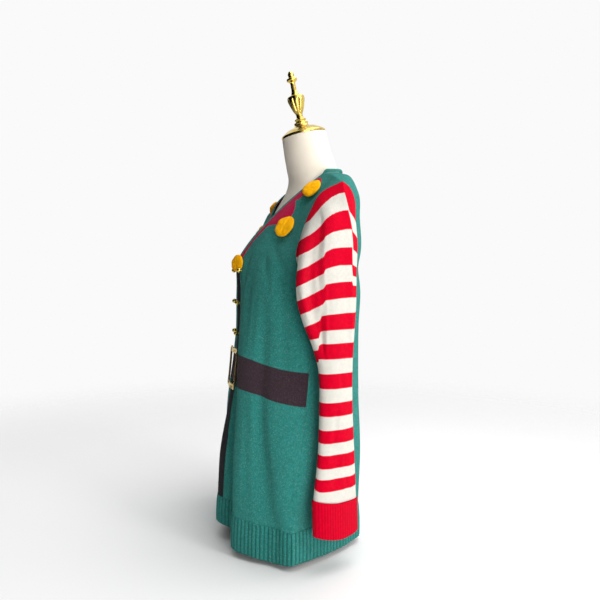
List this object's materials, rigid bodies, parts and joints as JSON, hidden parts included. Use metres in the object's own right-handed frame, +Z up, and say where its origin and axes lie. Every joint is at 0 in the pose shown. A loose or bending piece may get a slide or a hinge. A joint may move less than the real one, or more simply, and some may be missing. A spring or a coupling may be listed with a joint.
{
  "type": "christmas sweater dress on a limbless dress form",
  "caption": "Long elf-style knitted sweater dress with V neck, pompom collar, belt buckle and striped sleeves, on a limbless dress form with a short round-footed stand.",
  "frame": {"origin": "centre of the bounding box in plan, at the underside of the stand's round foot", "axes": "+Z up, the wearer's front faces -Y and the wearer's left is +X"},
  "size_m": [0.5236, 0.3311, 1.1246],
  "materials": {
    "green_knit": "heathered green acrylic knit, matt",
    "red_knit": "red knit with off-white stripes, matt",
    "pompom_felt": "yellow felted yarn, matt",
    "gold": "polished gold tone",
    "cream_jersey": "cream stretch jersey, matt",
    "steel": "satin"
  },
  "bodies": {
    "root": {"front": "green_knit", "back": "green_knit", "hem_front": "green_knit", "hem_back": "green_knit", "neck_band": "green_knit", "sleeve_left": "red_knit", "sleeve_right": "red_knit", "cuff_left": "red_knit", "cuff_right": "red_knit", "pompom_left_shoulder": "pompom_felt", "pompom_left_chest": "pompom_felt", "pompom_centre": "pompom_felt", "pompom_right_chest": "pompom_felt", "pompom_right_shoulder": "pompom_felt", "bell_top_left": "gold", "bell_top_right": "gold", "bell_middle_left": "gold", "bell_middle_right": "gold", "bell_low_left": "gold", "bell_low_right": "gold", "buckle": "gold", "neck_cap_finial": "gold", "form_torso": "cream_jersey", "stand_pole": "steel", "stand_foot": "steel"}
  },
  "joints": []
}
